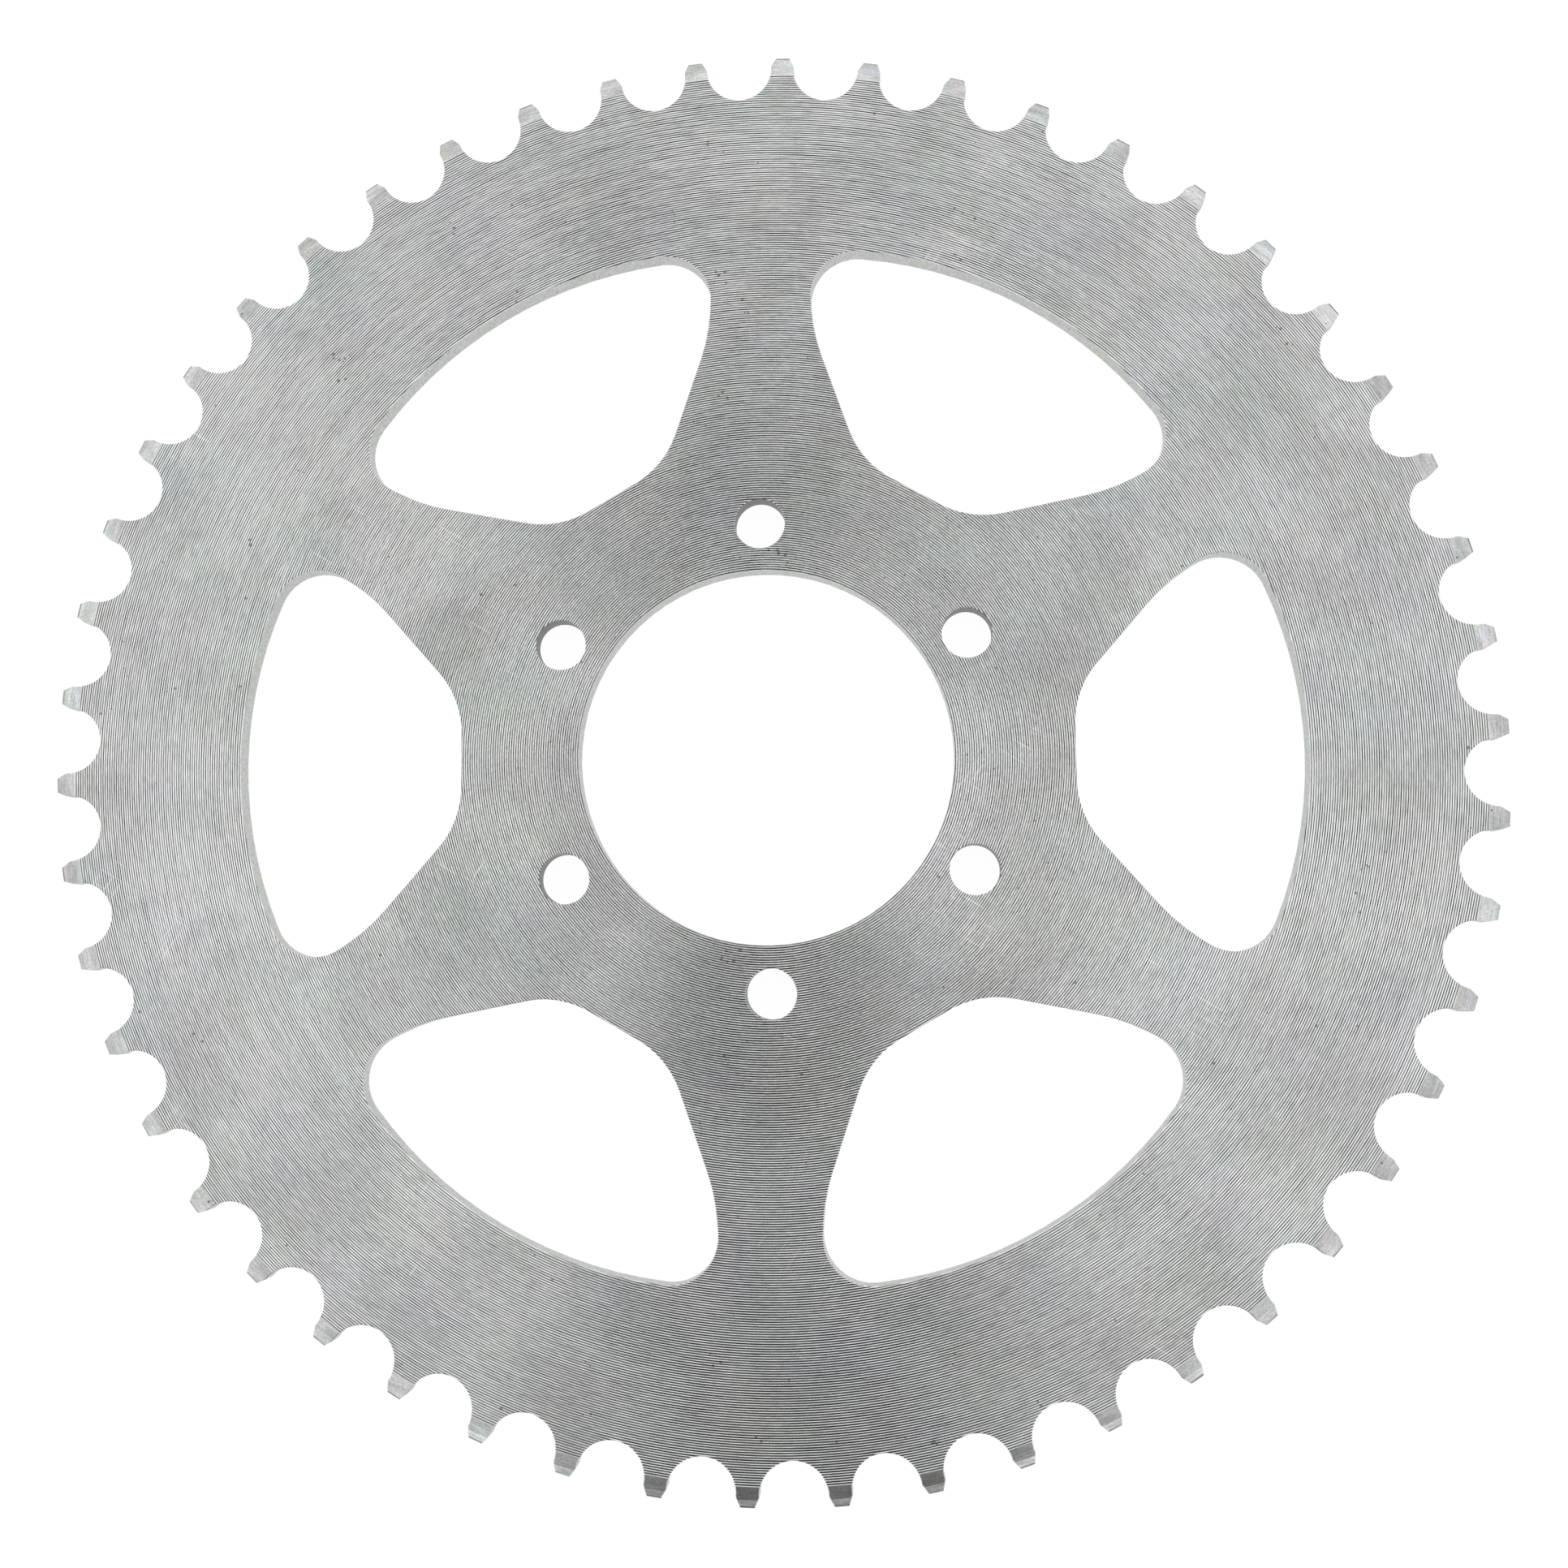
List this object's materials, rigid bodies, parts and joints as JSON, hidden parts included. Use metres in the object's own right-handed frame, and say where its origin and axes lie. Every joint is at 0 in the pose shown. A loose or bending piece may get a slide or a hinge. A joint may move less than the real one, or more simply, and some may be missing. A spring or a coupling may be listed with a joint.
{
  "type": "rear sprocket",
  "caption": "One-piece steel chain sprocket for a motorcycle's rear wheel, with a centre bore, a bolt circle, open windows between its spokes, turned faces and bevelled teeth.",
  "frame": {"origin": "on the sprocket's axis, in the plane of the back face, which lies on the floor", "axes": "+Z along the axis, out of the front face; +Y from the axis to the bolt hole at the top; +X to the right as the front face is looked at"},
  "size_m": [0.2592, 0.259, 0.0058],
  "materials": {
    "turned_steel": "face-turned with fine concentric grooves, thin pale zinc plating"
  },
  "bodies": {
    "root": {"sprocket_plate": "turned_steel"}
  },
  "joints": []
}
